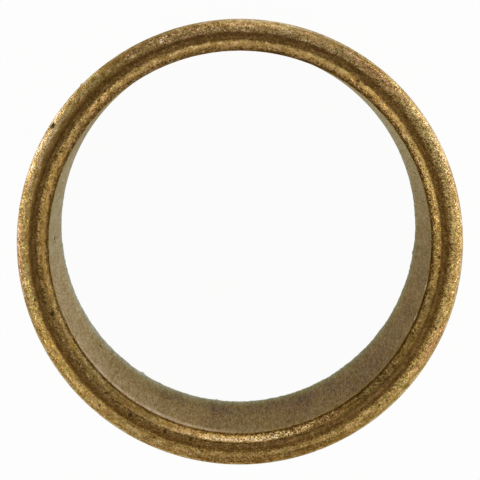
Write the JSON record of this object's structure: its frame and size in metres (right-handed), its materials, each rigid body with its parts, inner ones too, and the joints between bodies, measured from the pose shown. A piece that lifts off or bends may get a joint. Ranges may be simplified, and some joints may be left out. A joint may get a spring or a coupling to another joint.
{
  "type": "sleeve bushing",
  "caption": "Plain cylindrical bronze sleeve bushing with bevelled ends, pressed into a housing to carry a turning shaft.",
  "frame": {"origin": "centre of the bore in the plane of the lower end face, the face the bushing stands on", "axes": "+Z along the bore from the lower end face to the upper one; X and Y across it, alike because the sleeve is round"},
  "size_m": [0.0446, 0.0446, 0.0381],
  "materials": {
    "sintered_bronze": "porous sintered bronze, oil-filled: mottled gold-brown grain with small dark pores, satin, smoother on the sized bore and outside"
  },
  "bodies": {
    "root": {"bushing_sleeve": "sintered_bronze"}
  },
  "joints": []
}
